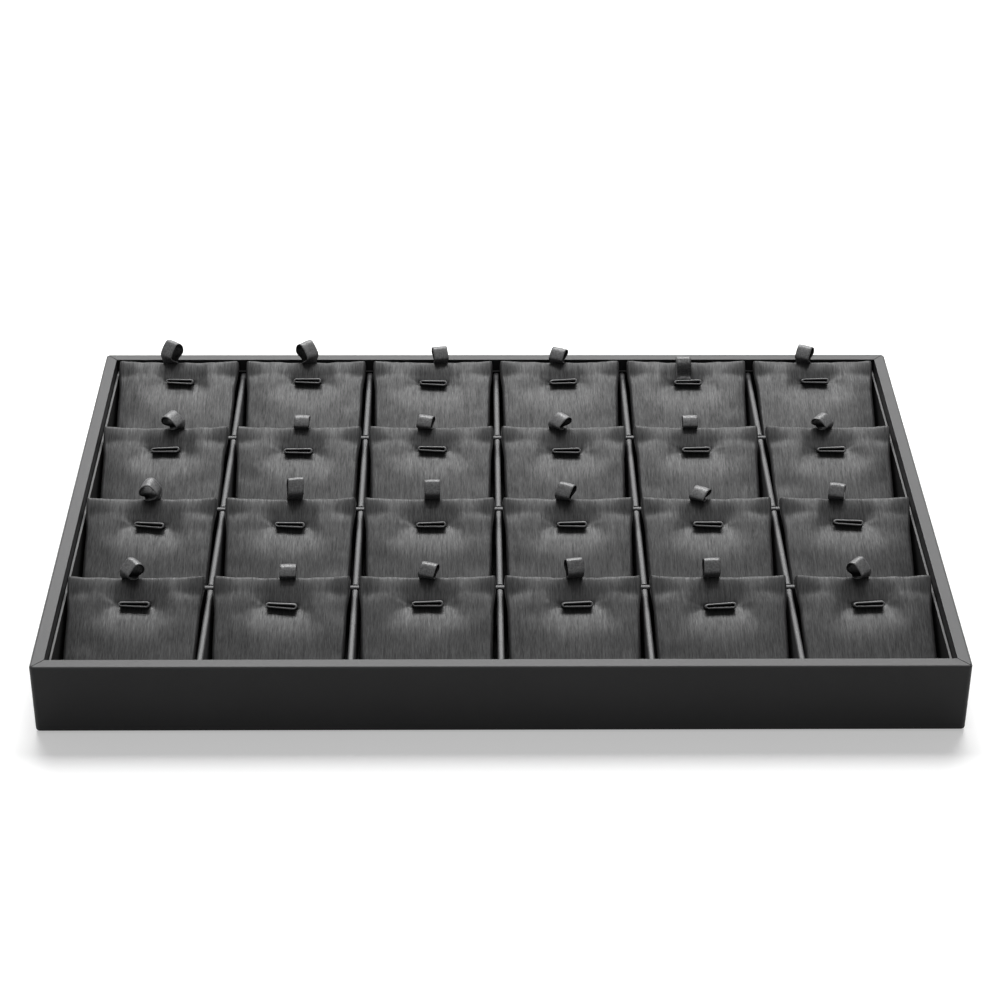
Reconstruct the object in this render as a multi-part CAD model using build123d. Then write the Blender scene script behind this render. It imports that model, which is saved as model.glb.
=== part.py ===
from build123d import *
import os
from math import atan2, cos, degrees, radians, sin

os.makedirs("parts", exist_ok=True)

# A pendant display tray: a shallow leatherette covered box that holds a lift-out
# egg-crate insert, with one sloping pad in each compartment. Millimetres.
# The origin is at the middle of the underside. +X is right, +Y is back, +Z is up.

# Tray
tray_length = 350.0
tray_width = 240.0
tray_height = 30.0
rim_width = 5.0
corner_radius = 1.8
rim_rounding = 0.9
cover_thickness = 0.6
seam_width = 0.3
seam_depth = 0.2
underside_thickness = 0.5
underside_margin = 3.0
base_thickness = 3.0
lining_thickness = 0.5
lining_clearance = 0.2

# Lift-out insert
columns = 6
rows = 4
insert_clearance = 0.4
insert_floor_thickness = 1.0
insert_wall_thickness = 0.8
insert_wall_height = 19.6
divider_thickness = 2.4
divider_height = 19.0
divider_top_rounding = 1.0
divider_end_clearance = 0.1
lap_front_gap = 1.2
lap_back_gap = 0.1
lap_height_clearance = 0.2

# Pads: a folded card that stands on the insert floor, with a cushion on its slope
pad_side_gap = 1.5
pad_front_gap = 0.8
pad_back_gap = 1.6
pad_seat_clearance = 0.1
card_thickness = 1.6
card_back_height = 23.4
card_fold_radius = 1.2
card_side_inset = 0.6
cushion_edge_height = 1.7
cushion_end_height = 1.3
cushion_top_height = 2.0
cushion_crown = 1.6
cushion_end_crown = 0.5
cushion_side_draw = 0.5
cushion_side_bulge = 0.25
cushion_end_length = 5.0
dent_width = 25.0
dent_depth = 1.1
dent_tilt = 4.0

# Hanging loop: a flattened tube of leatherette that stands out of a slit in the pad
slit_from_top = 10.5
loop_width = 12.2
loop_height = 2.6
loop_wall = 0.6
loop_reach = 2.6
loop_tilt = 25.0
slit_clearance = 0.15

# Pull ribbon: a satin loop glued to the back of the card
ribbon_width = 6.5
ribbon_thickness = 0.3
ribbon_gap = 1.9
ribbon_above_pad = 7.0
ribbon_tail_length = 9.0
ribbon_lean = 5.0

# Heights and lengths that follow
base_bottom = underside_thickness
base_top = base_bottom + base_thickness
lining_top = base_top + lining_thickness
insert_floor_top = lining_top + insert_floor_thickness
wall_thickness = rim_width - 2 * cover_thickness
wall_face_x = tray_length / 2 - rim_width + cover_thickness
wall_face_y = tray_width / 2 - rim_width + cover_thickness

insert_length = tray_length - 2 * rim_width - 2 * insert_clearance
insert_width = tray_width - 2 * rim_width - 2 * insert_clearance
inside_length = insert_length - 2 * insert_wall_thickness
inside_width = insert_width - 2 * insert_wall_thickness
cell_length = (inside_length - (columns - 1) * divider_thickness) / columns
cell_width = (inside_width - (rows - 1) * divider_thickness) / rows
column_pitch = cell_length + divider_thickness
row_pitch = cell_width + divider_thickness

pad_width = cell_length - 2 * pad_side_gap
pad_depth = cell_width - pad_front_gap - pad_back_gap
slope = atan2(card_back_height - card_thickness, pad_depth)
card_front_height = card_thickness / cos(slope)
slope_length = (card_back_height - card_front_height) / sin(slope)
slit_place = slope_length - slit_from_top


def block(length, width, height, bottom, x=0.0, y=0.0):
    """A box centred on x, y that stands on the height called bottom."""
    return Pos(x, y, bottom + height / 2) * Box(length, width, height)


def column_x(column):
    """Middle of a compartment, columns counted from the left."""
    return (column - (columns - 1) / 2) * column_pitch


def row_y(row):
    """Middle of a compartment, rows counted from the back."""
    return ((rows - 1) / 2 - row) * row_pitch


def save(shape, name):
    export_step(shape, f"parts/{name}.step")


# Tray boards and cover

def upright_ring(length, width, inner_length, inner_width, radius, bottom, top):
    """A wall that goes round the tray, with rounded outer corners."""
    outline = RectangleRounded(length, width, radius) - Rectangle(inner_length, inner_width)
    return Pos(0, 0, bottom) * extrude(outline, top - bottom)


def wall_ring():
    return upright_ring(
        tray_length - 2 * cover_thickness,
        tray_width - 2 * cover_thickness,
        2 * wall_face_x,
        2 * wall_face_y,
        corner_radius - cover_thickness,
        base_bottom + cover_thickness,
        tray_height - cover_thickness,
    )


def mitre_wedge(side_x, side_y):
    """The sector of the tray that belongs to one wall, cut at 45 degrees at its corners."""
    half_x = tray_length / 2
    half_y = tray_width / 2
    middle_x = half_x - half_y
    if side_y:
        outline = Polyline(
            (-half_x, side_y * half_y),
            (half_x, side_y * half_y),
            (middle_x, 0),
            (-middle_x, 0),
            close=True,
        )
    else:
        outline = Polyline(
            (side_x * half_x, -half_y),
            (side_x * half_x, half_y),
            (side_x * middle_x, 0),
            close=True,
        )
    return extrude(make_face(outline), tray_height)


def outer_cover():
    """Leatherette round the boards: outside, over the rim, down the inside and under."""
    skin = upright_ring(
        tray_length,
        tray_width,
        tray_length - 2 * rim_width,
        tray_width - 2 * rim_width,
        corner_radius,
        base_bottom,
        tray_height,
    )
    top_edges = skin.faces().sort_by(Axis.Z)[-1].outer_wire().edges()
    skin = fillet(top_edges, rim_rounding)
    bottom_edges = skin.faces().sort_by(Axis.Z)[0].outer_wire().edges()
    skin = fillet(bottom_edges, rim_rounding)
    skin -= wall_ring()
    skin -= block(2 * wall_face_x, 2 * wall_face_y, base_thickness, base_bottom)
    diagonal = rim_width * 3
    for side_x in (-1, 1):
        for side_y in (-1, 1):
            corner_x = side_x * (tray_length - rim_width) / 2
            corner_y = side_y * (tray_width - rim_width) / 2
            groove = Box(diagonal, seam_width, 2 * seam_depth)
            turn = 45 * side_x * side_y
            skin -= Pos(corner_x, corner_y, tray_height) * Rot(0, 0, turn) * groove
    return skin


walls = wall_ring()
save(walls & mitre_wedge(0, -1), "front_wall")
save(walls & mitre_wedge(0, 1), "back_wall")
save(walls & mitre_wedge(-1, 0), "left_wall")
save(walls & mitre_wedge(1, 0), "right_wall")
save(outer_cover(), "outer_cover")
save(block(2 * wall_face_x, 2 * wall_face_y, base_thickness, base_bottom), "base_board")

underside_outline = RectangleRounded(
    tray_length - 2 * underside_margin,
    tray_width - 2 * underside_margin,
    corner_radius,
)
save(extrude(underside_outline, underside_thickness), "underside_sheet")

lining = block(
    tray_length - 2 * rim_width - 2 * lining_clearance,
    tray_width - 2 * rim_width - 2 * lining_clearance,
    lining_thickness,
    base_top,
)
save(lining, "floor_lining")


# Lift-out insert

def insert_walls():
    """Four card strips on edge round the insert floor, butted at the corners."""
    strips = []
    for side in (-1, 1):
        x = side * (insert_length - insert_wall_thickness) / 2
        y = side * (insert_width - insert_wall_thickness) / 2
        strips.append(
            block(insert_wall_thickness, insert_width, insert_wall_height, insert_floor_top, x=x)
        )
        strips.append(
            block(inside_length, insert_wall_thickness, insert_wall_height, insert_floor_top, y=y)
        )
    return Compound(children=strips)


def divider_board(length):
    """One covered board, lengthwise along X, with a rounded top edge."""
    section = Rectangle(divider_thickness, divider_height)
    section = fillet(section.vertices().group_by(Axis.Y)[-1], divider_top_rounding)
    board = extrude(Plane.YZ * section, length / 2, both=True)
    return Pos(0, 0, insert_floor_top + divider_height / 2) * board


def lap_slot(width, height, bottom, x, y):
    """The notch that lets one board pass another."""
    return block(width, width, height, bottom, x=x, y=y)


def long_dividers():
    """Boards from front to back, notched from above for the cross dividers."""
    boards = []
    slot_height = divider_height / 2 + lap_height_clearance
    slot_bottom = insert_floor_top + divider_height - slot_height
    slot_width = divider_thickness + lap_front_gap + lap_back_gap
    slot_shift = (lap_back_gap - lap_front_gap) / 2
    board = Rot(0, 0, 90) * divider_board(inside_width - 2 * divider_end_clearance)
    for row in range(rows - 1):
        y = row_y(row) - row_pitch / 2 + slot_shift
        board -= lap_slot(slot_width, slot_height + divider_top_rounding, slot_bottom, 0, y)
    for column in range(columns - 1):
        boards.append(Pos(column_x(column) + column_pitch / 2, 0, 0) * board)
    return Compound(children=boards)


def cross_dividers():
    """Boards from left to right, notched from below to sit over the long dividers."""
    boards = []
    slot_height = divider_height / 2
    slot_width = divider_thickness + 2 * lap_back_gap
    board = divider_board(inside_length - 2 * divider_end_clearance)
    for column in range(columns - 1):
        x = column_x(column) + column_pitch / 2
        board -= lap_slot(slot_width, slot_height, insert_floor_top, x, 0)
    for row in range(rows - 1):
        boards.append(Pos(0, row_y(row) - row_pitch / 2, 0) * board)
    return Compound(children=boards)


save(block(insert_length, insert_width, insert_floor_thickness, lining_top), "insert_floor")
save(insert_walls(), "insert_walls")
save(long_dividers(), "long_dividers")
save(cross_dividers(), "cross_dividers")


# Pads. Each is drawn with its front edge on the X axis and its foot at height 0.
# On the slope, x runs across, y up the slope and z out of the card.

on_slope = Plane(
    origin=(0, 0, card_front_height),
    x_dir=(1, 0, 0),
    z_dir=(0, -sin(slope), cos(slope)),
)
slit_axis = Pos(0, slit_place, 0) * Rot(loop_tilt, 0, 0)


def flat_tube(width, height, low, high):
    """A flat column with bevelled ends round the slit's axis, from low to high along it."""
    outline = Rectangle(width, height)
    outline = chamfer(outline.vertices(), height / 3)
    return slit_axis * Pos(0, 0, low) * extrude(outline, high - low)


def folded_card():
    """The sloping panel and its back leg, one card with one fold."""
    inner_back = pad_depth - card_thickness
    inner_height = inner_back * (card_back_height - card_front_height) / pad_depth
    profile = Polyline(
        (0, 0),
        (0, card_front_height),
        (pad_depth, card_back_height),
        (pad_depth, 0),
        (inner_back, 0),
        (inner_back, inner_height),
        close=True,
    )
    face = make_face(profile)
    fold = face.vertices().sort_by(Axis.Y)[-1]
    face = fillet(fold, card_fold_radius)
    half_width = pad_width / 2 - card_side_inset
    card = extrude(Plane.YZ * face, half_width, both=True)
    chain_slit = flat_tube(
        loop_width - 2 * loop_wall,
        loop_height - 2 * loop_wall,
        -3 * card_thickness,
        3 * card_thickness,
    )
    return card - on_slope * chain_slit


def cushion_section(place, half_width, edge_height, crown):
    """The cushion cut across the slope: flat below, bulging sides, crowned above."""
    side = half_width + cushion_side_bulge
    base = Line((-half_width, 0), (half_width, 0))
    right = ThreePointArc(
        (half_width, 0), (side, edge_height / 2), (half_width, edge_height)
    )
    top = ThreePointArc(
        (half_width, edge_height), (0, edge_height + crown), (-half_width, edge_height)
    )
    left = ThreePointArc(
        (-half_width, edge_height), (-side, edge_height / 2), (-half_width, 0)
    )
    plane = Plane(origin=(0, place, 0), x_dir=(1, 0, 0), z_dir=(0, -1, 0))
    return plane * make_face(base + right + top + left)


def cushion():
    """A padded top that is fullest in the middle and drawn in between its corners."""
    half = pad_width / 2 - cushion_side_bulge
    shoulder = half - cushion_side_draw / 2
    waist = half - cushion_side_draw
    front_end = (cushion_end_height + cushion_end_crown) * sin(slope)
    back_end = slope_length - card_fold_radius * sin(slope)
    sections = [
        cushion_section(front_end, half, cushion_end_height, cushion_end_crown),
        cushion_section(
            front_end + cushion_end_length, shoulder, cushion_edge_height, cushion_crown * 0.8
        ),
        cushion_section(slope_length / 2, waist, cushion_edge_height, cushion_crown),
        cushion_section(
            back_end - cushion_end_length, shoulder, cushion_edge_height, cushion_crown * 0.8
        ),
        cushion_section(back_end, half, cushion_top_height, cushion_end_crown),
    ]
    body = loft(sections)
    return body


def dent():
    """The shallow trough from the slit to the top edge, where the loop draws the cover in."""
    top = cushion_edge_height + cushion_crown
    dent_radius = (dent_width / 2) ** 2 / (2 * dent_depth)
    trough = extrude(Plane.XZ * Circle(dent_radius), -2 * slit_from_top)
    seat = Pos(0, slit_place, top - dent_depth + dent_radius)
    return seat * Rot(dent_tilt, 0, 0) * trough


def pad_cushion():
    body = cushion() - dent()
    hole = flat_tube(
        loop_width + 2 * slit_clearance,
        loop_height + 2 * slit_clearance,
        -card_thickness,
        4 * loop_reach,
    )
    return on_slope * (body - hole)


def hanging_loop():
    """Stands on the card, passes the slit and ends clear of the cushion."""
    face_height = cushion_edge_height + cushion_crown - dent_depth
    length = face_height / cos(radians(loop_tilt)) + loop_reach
    outer = flat_tube(loop_width, loop_height, -loop_height, length)
    inner = flat_tube(
        loop_width - 2 * loop_wall, loop_height - 2 * loop_wall, -2 * loop_height, 2 * length
    )
    below_card = Pos(0, slit_place, -2 * loop_height) * Box(
        2 * loop_width, 6 * loop_height, 4 * loop_height
    )
    return on_slope * (outer - inner - below_card)


def ribbon():
    """A strip that runs up the back of the leg, over in a round bend and down again."""
    inner_radius = ribbon_gap / 2
    outer_radius = inner_radius + ribbon_thickness
    foot = card_back_height - card_fold_radius - ribbon_tail_length
    neck = card_back_height - card_fold_radius
    pad_top = card_back_height + (cushion_top_height + cushion_end_crown) * cos(slope)
    crown = pad_top + ribbon_above_pad - outer_radius
    middle = pad_depth + outer_radius
    near = middle - outer_radius
    far = middle + outer_radius
    second_tail = near + 2 * ribbon_thickness
    outside = (
        Line((near, foot), (near, crown))
        + ThreePointArc((near, crown), (middle, crown + outer_radius), (far, crown))
        + Line((far, crown), (far, neck + ribbon_gap))
        + Line((far, neck + ribbon_gap), (second_tail, neck))
        + Line((second_tail, neck), (second_tail, foot))
        + Line((second_tail, foot), (near, foot))
    )
    strip = make_face(outside)
    opening = (
        Line((near + ribbon_thickness, neck), (near + ribbon_thickness, crown))
        + ThreePointArc(
            (near + ribbon_thickness, crown),
            (middle, crown + inner_radius),
            (far - ribbon_thickness, crown),
        )
        + Line((far - ribbon_thickness, crown), (far - ribbon_thickness, neck + ribbon_gap))
        + Line(
            (far - ribbon_thickness, neck + ribbon_gap),
            (near + ribbon_thickness, neck),
        )
    )
    strip -= make_face(opening)
    return extrude(Plane.YZ * strip, ribbon_width / 2, both=True)


pad_shapes = Compound(children=[folded_card(), pad_cushion()])
print("slope in degrees", round(degrees(slope), 2), "pad", round(pad_width, 2), round(pad_depth, 2))
loop_shape = hanging_loop()
ribbon_shape = ribbon()

for row in range(rows):
    for column in range(columns):
        name = f"r{row + 1}c{column + 1}"
        front_y = row_y(row) - cell_width / 2 + pad_front_gap
        place = Pos(column_x(column), front_y, insert_floor_top + pad_seat_clearance)
        lean = ribbon_lean * sin(radians(100 * column + 170 * row))
        swing = Pos(0, pad_depth, card_back_height) * Rot(0, lean, 0)
        swing = swing * Pos(0, -pad_depth, -card_back_height)
        loops = Compound(children=[place * loop_shape, place * swing * ribbon_shape])
        save(place * pad_shapes, f"pad_{name}")
        save(loops, f"loops_{name}")
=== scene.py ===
"""Finish of a pendant display tray: leatherette, padded pads, hanging loops and ribbons."""
import math

import bpy
from bpy.props import FloatProperty, FloatVectorProperty, IntProperty, PointerProperty
from mathutils import Matrix, Vector, noise


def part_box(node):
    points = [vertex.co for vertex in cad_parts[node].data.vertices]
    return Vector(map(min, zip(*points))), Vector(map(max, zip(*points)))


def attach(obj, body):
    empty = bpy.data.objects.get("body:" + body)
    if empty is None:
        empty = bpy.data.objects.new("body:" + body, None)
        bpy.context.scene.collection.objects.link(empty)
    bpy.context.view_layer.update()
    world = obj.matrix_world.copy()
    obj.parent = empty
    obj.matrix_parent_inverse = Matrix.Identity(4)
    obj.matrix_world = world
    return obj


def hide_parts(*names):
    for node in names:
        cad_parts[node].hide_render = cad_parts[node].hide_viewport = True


bl_info = {
    "name": "Pendant display tray",
    "version": (1, 0, 0),
    "blender": (4, 5, 0),
    "location": "3D View > Sidebar > Display Tray",
    "description": "Dresses a 24 place pendant tray: cover, insert, pads, loops and ribbons",
    "category": "Object",
}

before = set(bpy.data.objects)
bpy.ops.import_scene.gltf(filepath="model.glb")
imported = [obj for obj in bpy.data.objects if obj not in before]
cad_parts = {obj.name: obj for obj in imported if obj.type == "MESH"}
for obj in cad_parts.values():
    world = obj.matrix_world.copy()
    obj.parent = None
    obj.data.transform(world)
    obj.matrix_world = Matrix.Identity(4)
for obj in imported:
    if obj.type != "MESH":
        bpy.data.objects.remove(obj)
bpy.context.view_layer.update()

MM = 0.001
ROWS = 4
COLUMNS = 6

# Pad sizes, as in the solids
CARD_THICKNESS = 1.6 * MM
CARD_BACK_HEIGHT = 23.4 * MM
CARD_FOLD_RADIUS = 1.2 * MM
CARD_SIDE_INSET = 0.6 * MM
PAD_DEPTH = 52.7 * MM
PAD_SLOPE = math.atan2(CARD_BACK_HEIGHT - CARD_THICKNESS, PAD_DEPTH)
CARD_FRONT_HEIGHT = CARD_THICKNESS / math.cos(PAD_SLOPE)
SLOPE_LENGTH = (CARD_BACK_HEIGHT - CARD_FRONT_HEIGHT) / math.sin(PAD_SLOPE)
CUSHION_LENGTH = SLOPE_LENGTH - CARD_FOLD_RADIUS * math.sin(PAD_SLOPE)

# How far down the slope the slits lie, before each one's own place in LOOP_SEATS
LOOP_FROM_TOP = 11.0 * MM

# The cushion's face, in millimetres over the card
FOAM_HEIGHT = 1.7
CROWN_HEIGHT = 1.45
TOP_ROLL_HEIGHT = 0.55
TOP_ROLL_REACH = 7
CORNER_HEIGHT = 0.75
CORNER_REACH = 8
DIMPLE_DEPTH = 2.1
DIMPLE_WIDTH = 11.2
DIMPLE_FADE = 6.2
SWELL_HEIGHT = 0.35

# The slit in the cushion, in millimetres: half its length, and its upper and lower edge
SLIT_HALF = 6.3
SLIT_ABOVE = -1.0
SLIT_BELOW = 1.5

# The rolls of the cushion's edges, in millimetres
SIDE_ROLL = 1.3
TOP_ROLL = 0.8

# The grid on which each pad's cover settles as cloth, how far apart the covers lie there, in
# millimetres, and how many metres of the simulation are one millimetre of cover, because
# cloth is steadier at a larger size
SHEET_COLUMNS = 39
SHEET_ROWS = 41
SHEET_SPACING = 70
SHEET_SCALE = 0.02

# The hanging loop: a flattened tube, with its height at the foot and what its lip adds to
# that in millimetres, and how many rings of its mesh are lip, painted pale as a highlight
LOOP_WIDTH = 12.2 * MM
LOOP_WALL = 0.72 * MM
LOOP_REACH = 4.9 * MM
LOOP_FOOT_HEIGHT = 1.9
LOOP_LIP_SPREAD = 0.55
PAINTED_HIGHLIGHT_RINGS = 7

# How each hanging loop sits in its slit, seen in the photo, by row and column:
# millimetres to the right, millimetres down the slope, turn in degrees
LOOP_SEATS = (
    (
        (1.4, -1.6, -3), (1.2, -1.9, -1), (0.4, -0.8, -2),
        (1.4, -1.5, 2), (0.1, -1.0, 1), (0.1, -1.8, 0),
    ),
    (
        (0.6, -0.8, 2), (0.4, -0.2, -1), (0.6, -1.1, -2),
        (0.9, -0.1, 0), (-0.5, -0.6, 1), (0.3, -0.6, 1),
    ),
    (
        (0.3, 0.3, -4), (0.4, 0.3, -2), (0.8, 0.3, 1),
        (1.3, 0.2, 0), (-0.1, 0.2, -1), (0.4, -0.7, -4),
    ),
    (
        (0.5, -0.3, -2), (0.7, 0.5, -5), (0.1, -0.3, 2),
        (1.3, 0.0, 2), (-0.1, 0.9, 4), (0.8, 0.1, 3),
    ),
)

# The pull ribbon, the steps round its loop, and the room between a pad's back and the next pad
RIBBON_WIDTH = 6.4 * MM
RIBBON_THICKNESS = 0.28 * MM
RIBBON_TAIL = 9 * MM
RIBBON_COLUMNS = 9
LOOP_STEPS = 32
ROOM_BEHIND = 4.2 * MM

# How each ribbon stands, seen in the photo, by row and column: lean to the right, turn about
# its own height, lean to the back, in degrees, then millimetres above the pad's top edge, how
# deep its loop is, and how far to the right it is glued. One hangs forward over its pad.
RIBBON_BENDS = (
    (
        (4, -40, 8, 8.4, 7.7, -3.8), (-6, 44, 10, 8.1, 7.8, 1.5), (-3, 12, 6, 5.8, 7.1, 3.6),
        (5, -24, 4, 5.2, 7.1, -1), (0, 3, -100, 11.5, 3.0, -1.3), (3, -27, 6, 6.3, 7.1, -4),
    ),
    (
        (-14, 62, 2, 6.2, 7.5, 4.7), (3, -3, 2, 4.1, 7, 1.2), (2, -16, 2, 4.4, 7, -2.6),
        (18, -48, 2, 5.4, 7.2, -3.1), (0, 1, 0, 3.9, 6.9, -2.5), (-8, 54, 2, 4.9, 7.2, -1.5),
    ),
    (
        (0, 80, 2, 7.3, 7.8, 0.3), (5, 8, 2, 8.4, 7, 1.6), (0, 1, 2, 7.1, 7, 1.2),
        (8, -27, 2, 6.1, 7.1, -1.8), (12, -32, 2, 4.2, 7.1, -3.5), (2, -14, 2, 5.6, 7, -3.5),
    ),
    (
        (8, -52, 2, 7, 7.2, -2.4), (2, 0, 0, 3.8, 6.9, 2.3), (5, -20, 0, 5.3, 7, 0),
        (0, 13, 0, 7.2, 7.1, 0.6), (1, 3, 0, 6.8, 7.1, -2.7), (-8, 48, 2, 7, 7.2, -0.9),
    ),
)

# The camera that the photo was taken with, solved from the tray's corners
CAMERA_PLACE = (-0.0114, -0.8806, 0.5802)
CAMERA_YAW = math.radians(0.78)
CAMERA_PITCH = math.radians(32.1)
CAMERA_ROLL = math.radians(0.35)
SENSOR_WIDTH = 36

# Each lamp's place, its size, and the setting that holds its power
LAMPS = (
    ("overhead_lamp", (0.03, 0.61, 1.06), (1.1, 0.50), "overhead_power"),
    ("back_lamp", (0.0, 1.25, 0.80), (1.6, 0.35), "back_power"),
    ("front_lamp", (0.0, -1.3, 0.7), (1.2, 0.6), "front_power"),
)

# The floor: half its side, how far it lies under the tray so that the two don't flicker, its
# grey, and how its white grows with the distance from the tray
FLOOR_HALF = 6.0
FLOOR_DROP = 0.0002
FLOOR_GREY = 0.72
GLOW_START, GLOW_END = 0.35, 1.2
GLOW_NEAR, GLOW_FAR = 0.38, 1.0


def every_pad():
    """Row and column of each pad, with the ending that its pieces' names share."""
    for row in range(ROWS):
        for column in range(COLUMNS):
            yield row, column, f"r{row + 1}c{column + 1}"


def pad_middle(tag):
    """Middle of a pad across, its back face and its foot, from the solids."""
    low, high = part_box(f"pad_{tag}")
    return (low[0] + high[0]) / 2, high[1], low[2]


def pad_half(tag):
    """Half the pad's width, in millimetres."""
    low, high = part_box(f"pad_{tag}")
    return (high[0] - low[0]) / 2 / MM


def slope_matrix(tag):
    """From the card's slope (across, up the slope, out of the card) to the tray."""
    middle, back, foot = pad_middle(tag)
    origin = Vector((middle, back - PAD_DEPTH, foot + CARD_FRONT_HEIGHT))
    return Matrix.Translation(origin) @ Matrix.Rotation(PAD_SLOPE, 4, "X")


def smooth_step(low, high, value):
    """From nought at the low value to one at the high value, with soft ends."""
    share = min(max((value - low) / (high - low), 0.0), 1.0)
    return share * share * (3 - 2 * share)


# Meshes

def new_piece(name, points, faces, material, smooth=True):
    """One mesh object, with its place in its mesh."""
    mesh = bpy.data.meshes.new(name)
    mesh.from_pydata([tuple(p) for p in points], [], faces)
    mesh.validate()
    mesh.polygons.foreach_set("use_smooth", [smooth] * len(mesh.polygons))
    piece = bpy.data.objects.new(name, mesh)
    bpy.context.scene.collection.objects.link(piece)
    mesh.materials.append(material)
    return piece


def grid_faces(rows, columns, start=0, closed=False):
    """Quads over a grid of points stored row after row."""
    faces = []
    last = columns if closed else columns - 1
    for row in range(rows - 1):
        for column in range(last):
            a = start + row * columns + column
            b = start + row * columns + (column + 1) % columns
            faces.append((a, b, b + columns, a + columns))
    return faces


def spread(stops, pieces):
    """Evenly divided stretches between the stops, one count for each stretch."""
    values = [stops[0]]
    for low, high, count in zip(stops, stops[1:], pieces):
        for step in range(1, count + 1):
            values.append(low + (high - low) * step / count)
    return values


# Materials

class Shader:
    """A material's nodes, joined by short calls."""

    def __init__(self, name):
        self.material = bpy.data.materials.new(name)
        self.material.use_nodes = True
        self.tree = self.material.node_tree
        self.surface = self.tree.nodes["Principled BSDF"]

    def node(self, kind, **values):
        made = self.tree.nodes.new(kind)
        for key, value in values.items():
            setattr(made, key, value)
        return made

    def link(self, source, target):
        self.tree.links.new(source, target)

    def place(self, scale):
        """Object coordinates stretched by the scale along each axis."""
        where = self.node("ShaderNodeTexCoord")
        stretch = self.node("ShaderNodeMapping")
        stretch.inputs["Scale"].default_value = scale
        self.link(where.outputs["Object"], stretch.inputs["Vector"])
        return stretch.outputs["Vector"]

    def noise(self, scale, size=1.0, detail=3.0, roughness=0.5, distortion=0.0):
        made = self.node("ShaderNodeTexNoise")
        made.inputs["Scale"].default_value = size
        made.inputs["Detail"].default_value = detail
        made.inputs["Roughness"].default_value = roughness
        made.inputs["Distortion"].default_value = distortion
        self.link(self.place(scale), made.inputs["Vector"])
        return made.outputs["Fac"]

    def ramp(self, value, stops):
        """A colour for each value, from stops of a place and its colour."""
        made = self.node("ShaderNodeValToRGB")
        ramp = made.color_ramp
        for index, (place, colour) in enumerate(stops):
            if index >= len(ramp.elements):
                ramp.elements.new(place)
            ramp.elements[index].position = place
            ramp.elements[index].color = (*colour, 1.0)
        self.link(value, made.inputs["Fac"])
        return made.outputs["Color"]

    def range(self, value, low, high, from_low=0.0, from_high=1.0):
        """The value carried from one range to another, and held at its ends."""
        made = self.node("ShaderNodeMapRange")
        made.inputs["From Min"].default_value = from_low
        made.inputs["From Max"].default_value = from_high
        made.inputs["To Min"].default_value = low
        made.inputs["To Max"].default_value = high
        self.link(value, made.inputs["Value"])
        return made.outputs["Result"]

    def blend(self, first, second, share):
        """The share of the first value and the rest of the second."""
        first = self.math("MULTIPLY", first, share)
        second = self.math("MULTIPLY", second, 1 - share)
        return self.math("ADD", first, second)

    def facing_up(self):
        """One where the surface faces up, nought where it is upright."""
        facing = self.node("ShaderNodeNewGeometry")
        parts = self.node("ShaderNodeSeparateXYZ")
        self.link(facing.outputs["Normal"], parts.inputs["Vector"])
        return parts.outputs["Z"]

    def math(self, operation, first, second):
        made = self.node("ShaderNodeMath", operation=operation)
        for socket, value in zip(made.inputs, (first, second)):
            if isinstance(value, (int, float)):
                socket.default_value = value
            else:
                self.link(value, socket)
        return made.outputs["Value"]

    def bump(self, height, strength, distance, under=None):
        made = self.node("ShaderNodeBump")
        made.inputs["Strength"].default_value = strength
        made.inputs["Distance"].default_value = distance
        self.link(height, made.inputs["Height"])
        if under is not None:
            self.link(under, made.inputs["Normal"])
        return made.outputs["Normal"]

    def finish(self, colour, rough, normal, others=()):
        """Joins colour, roughness and relief to the surface, and sets its other sockets."""
        for name, value in (("Base Color", colour), ("Roughness", rough), ("Normal", normal)):
            if value is None:
                continue
            if isinstance(value, (int, float, tuple)):
                self.surface.inputs[name].default_value = value
            else:
                self.link(value, self.surface.inputs[name])
        for name, value in others:
            self.surface.inputs[name].default_value = value
        return self.material


def shade(colour, share):
    """A darker or lighter shade of a colour."""
    return tuple(channel * share for channel in colour)


def brushed_leatherette(finish):
    """Dark grey leatherette with fine streaks that run up the pads."""
    made = Shader("brushed_leatherette")
    base = finish.pad_colour
    streaks = made.noise((3600, 300, 300), detail=4.0, roughness=0.6)
    fibres = made.noise((1300, 80, 80), detail=3.0, roughness=0.5)
    cloud = made.noise((60, 60, 60), detail=2.0)
    mixed = made.blend(streaks, fibres, 0.66)
    colour = made.ramp(
        mixed, ((0.34, shade(base, 0.6)), (0.5, shade(base, 1.0)), (0.67, shade(base, 1.5)))
    )
    worn = made.range(cloud, -0.03, 0.03)
    rough = made.math("ADD", made.range(mixed, 0.42, 0.34, 0.3, 0.7), worn)
    gloss = made.range(mixed, 0.10, 0.26, 0.36, 0.66)
    made.link(gloss, made.surface.inputs["Specular IOR Level"])
    normal = made.bump(mixed, 0.3, 0.0001)
    normal = made.bump(cloud, 0.15, 0.0006, normal)
    return made.finish(colour, rough, normal)


def smooth_leatherette(name, base, roughness, gloss=(0.16, 0.30)):
    """Matte leatherette with a very fine pebble, a little more polished where it faces up."""
    made = Shader(name)
    pebble = made.noise((1500, 1500, 1500), detail=3.0, roughness=0.55)
    cloud = made.noise((22, 22, 22), detail=3.0)
    colour = made.ramp(cloud, ((0.3, shade(base, 0.88)), (0.7, shade(base, 1.12))))
    polish = made.range(made.facing_up(), gloss[0], gloss[1], 0.1, 0.8)
    made.link(polish, made.surface.inputs["Specular IOR Level"])
    rough = made.range(pebble, roughness - 0.05, roughness + 0.05)
    normal = made.bump(pebble, 0.18, 0.00008)
    normal = made.bump(cloud, 0.12, 0.0008, normal)
    return made.finish(colour, rough, normal)


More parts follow.
